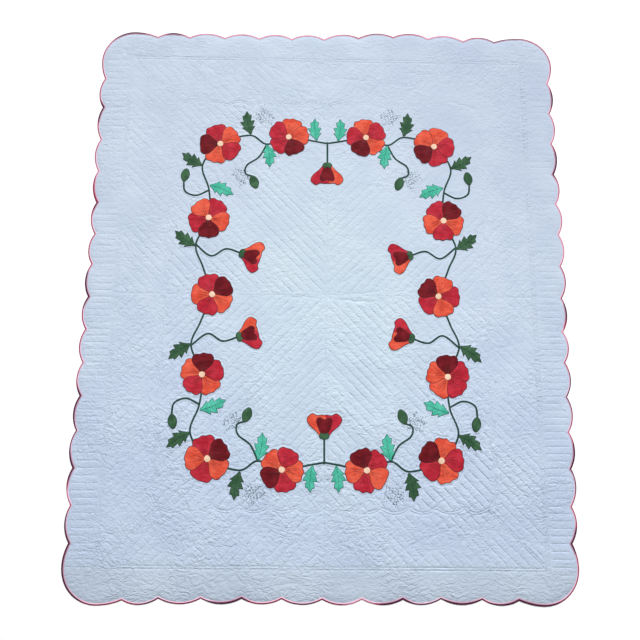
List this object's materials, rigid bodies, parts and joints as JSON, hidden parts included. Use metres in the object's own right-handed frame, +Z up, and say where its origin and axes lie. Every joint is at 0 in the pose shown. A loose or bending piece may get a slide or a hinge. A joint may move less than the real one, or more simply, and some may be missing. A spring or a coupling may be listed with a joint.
{
  "type": "applique quilt",
  "caption": "Scalloped bed quilt lying flat: pale quilted ground, narrow bound edge, and a rectangular garland of red blossoms, leaves, buds and stems sewn on.",
  "frame": {"origin": "on the surface that the quilt lies on, under the middle of its outline", "axes": "+Z up out of the quilt's face, +Y towards its top end along its length, +X to the right of someone facing it"},
  "size_m": [2.013, 2.4134, 0.007],
  "materials": {
    "ground_cloth": "matt plain-woven cotton, white with a cold blue cast, crinkled by close hand quilting",
    "binding_cloth": "matt cotton bias strip, worn from dark red to pale pink",
    "petal_cloth": "matt cotton in orange-red, crimson and dark maroon, with cream middles",
    "mint_cloth": "matt cotton, mint green",
    "forest_cloth": "matt cotton, forest green",
    "stem_cloth": "matt cotton bias strip, dark green-black"
  },
  "bodies": {
    "root": {"binding": "binding_cloth", "blossom_01": "petal_cloth", "blossom_02": "petal_cloth", "blossom_03": "petal_cloth", "blossom_04": "petal_cloth", "blossom_05": "petal_cloth", "blossom_06": "petal_cloth", "blossom_07": "petal_cloth", "blossom_08": "petal_cloth", "blossom_09": "petal_cloth", "blossom_10": "petal_cloth", "blossom_11": "petal_cloth", "blossom_12": "petal_cloth", "blossom_13": "petal_cloth", "blossom_14": "petal_cloth", "bud_01": "forest_cloth", "bud_02": "forest_cloth", "bud_03": "forest_cloth", "bud_04": "forest_cloth", "bud_05": "forest_cloth", "bud_06": "forest_cloth", "bud_07": "forest_cloth", "bud_08": "forest_cloth", "cup_01": "petal_cloth", "cup_02": "petal_cloth", "cup_03": "petal_cloth", "cup_04": "petal_cloth", "cup_05": "petal_cloth", "cup_06": "petal_cloth", "forest_leaf_01": "forest_cloth", "forest_leaf_02": "forest_cloth", "forest_leaf_03": "forest_cloth", "forest_leaf_04": "forest_cloth", "forest_leaf_05": "forest_cloth", "forest_leaf_06": "forest_cloth", "forest_leaf_07": "forest_cloth", "forest_leaf_08": "forest_cloth", "forest_leaf_09": "forest_cloth", "forest_leaf_10": "forest_cloth", "forest_leaf_11": "forest_cloth", "forest_leaf_12": "forest_cloth", "middle_stem_1": "stem_cloth", "middle_stem_2": "stem_cloth", "mint_leaf_01": "mint_cloth", "mint_leaf_02": "mint_cloth", "mint_leaf_03": "mint_cloth", "mint_leaf_04": "mint_cloth", "mint_leaf_05": "mint_cloth", "mint_leaf_06": "mint_cloth", "mint_leaf_07": "mint_cloth", "mint_leaf_08": "mint_cloth", "mint_leaf_09": "mint_cloth", "mint_leaf_10": "mint_cloth", "mint_leaf_11": "mint_cloth", "mint_leaf_12": "mint_cloth", "quilt_body": "ground_cloth", "stems_1": "stem_cloth", "stems_2": "stem_cloth", "stems_3": "stem_cloth", "stems_4": "stem_cloth"}
  },
  "joints": []
}
